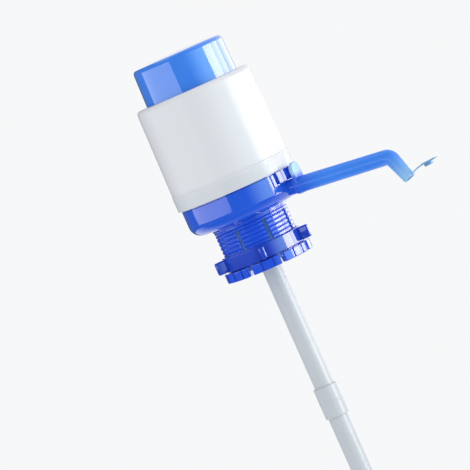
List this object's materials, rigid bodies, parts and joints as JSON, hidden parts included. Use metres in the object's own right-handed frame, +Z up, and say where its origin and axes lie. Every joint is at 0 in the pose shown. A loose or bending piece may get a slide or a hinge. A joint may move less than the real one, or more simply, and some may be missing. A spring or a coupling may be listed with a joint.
{
  "type": "water jug hand pump",
  "caption": "Hand pump that clamps on the neck of a water jug: a pressed cap works a bellows, and air drives the water up a dip tube and out of a bent spout.",
  "frame": {"origin": "on the pump's axis at the underside of the neck gasket, where the rim of the jug seats", "axes": "+Z up the pump's axis to the press cap, +X towards the spout"},
  "size_m": [0.2301, 0.1008, 0.6096],
  "materials": {
    "cap_blue": "glossy moulded blue",
    "casing_white": "satin moulded white",
    "pan_blue": "glossy moulded deep blue",
    "collet_blue": "glossy moulded deep blue",
    "ring_blue": "glossy moulded dark blue",
    "spout_blue": "glossy, slightly translucent blue",
    "tube_white": "milky white tube",
    "inner_white": "plain moulded white",
    "bellows_grey": "soft blow-moulded grey",
    "silicone": "translucent silicone rubber",
    "screw_steel": "zinc plated steel"
  },
  "bodies": {
    "pump_base": {"outer_casing": "casing_white", "base_pan": "pan_blue", "bellows": "bellows_grey", "bellows_clamp_ring": "inner_white", "bellows_seat": "inner_white", "delivery_valve": "silicone", "seat_screw_1": "screw_steel", "seat_screw_2": "screw_steel", "seat_screw_3": "screw_steel", "neck_screw_1": "screw_steel", "neck_screw_2": "screw_steel", "neck_screw_3": "screw_steel", "water_elbow": "pan_blue", "spout_seal": "silicone", "spout": "spout_blue", "clamp_collet": "collet_blue", "neck_gasket": "silicone", "adapter_seal": "silicone", "tube_adapter": "tube_white", "dip_tube_upper": "tube_white", "tube_coupler_upper": "tube_white", "dip_tube_middle": "tube_white", "tube_coupler_lower": "tube_white", "dip_tube_lower": "tube_white"},
    "press_head": {"press_cap": "cap_blue", "bellows_top_plate": "inner_white", "intake_valve": "silicone"},
    "turning_ring": {"lock_ring": "ring_blue"},
    "mouth_cap": {"dust_cap": "spout_blue"}
  },
  "joints": [
    {"name": "cap_press", "type": "slide", "parent": "pump_base", "child": "press_head", "axis": [0, 0, -1], "range_m": [0, 0.026], "stiffness_N_per_m": 500, "springref_m": -0.012, "deforming": ["bellows"]},
    {"name": "ring_turn", "type": "hinge", "parent": "pump_base", "child": "turning_ring", "pos_m": [0, 0, -0.0247], "axis": [0, 0, 1], "range_deg": [0, 1930]},
    {"name": "cap_flip", "type": "hinge", "parent": "pump_base", "child": "mouth_cap", "pos_m": [0.16018, 0, -0.01077], "axis": [0, 1, 0], "range_deg": [0, 162.5], "stiffness_Nm_per_rad": 0.002}
  ]
}
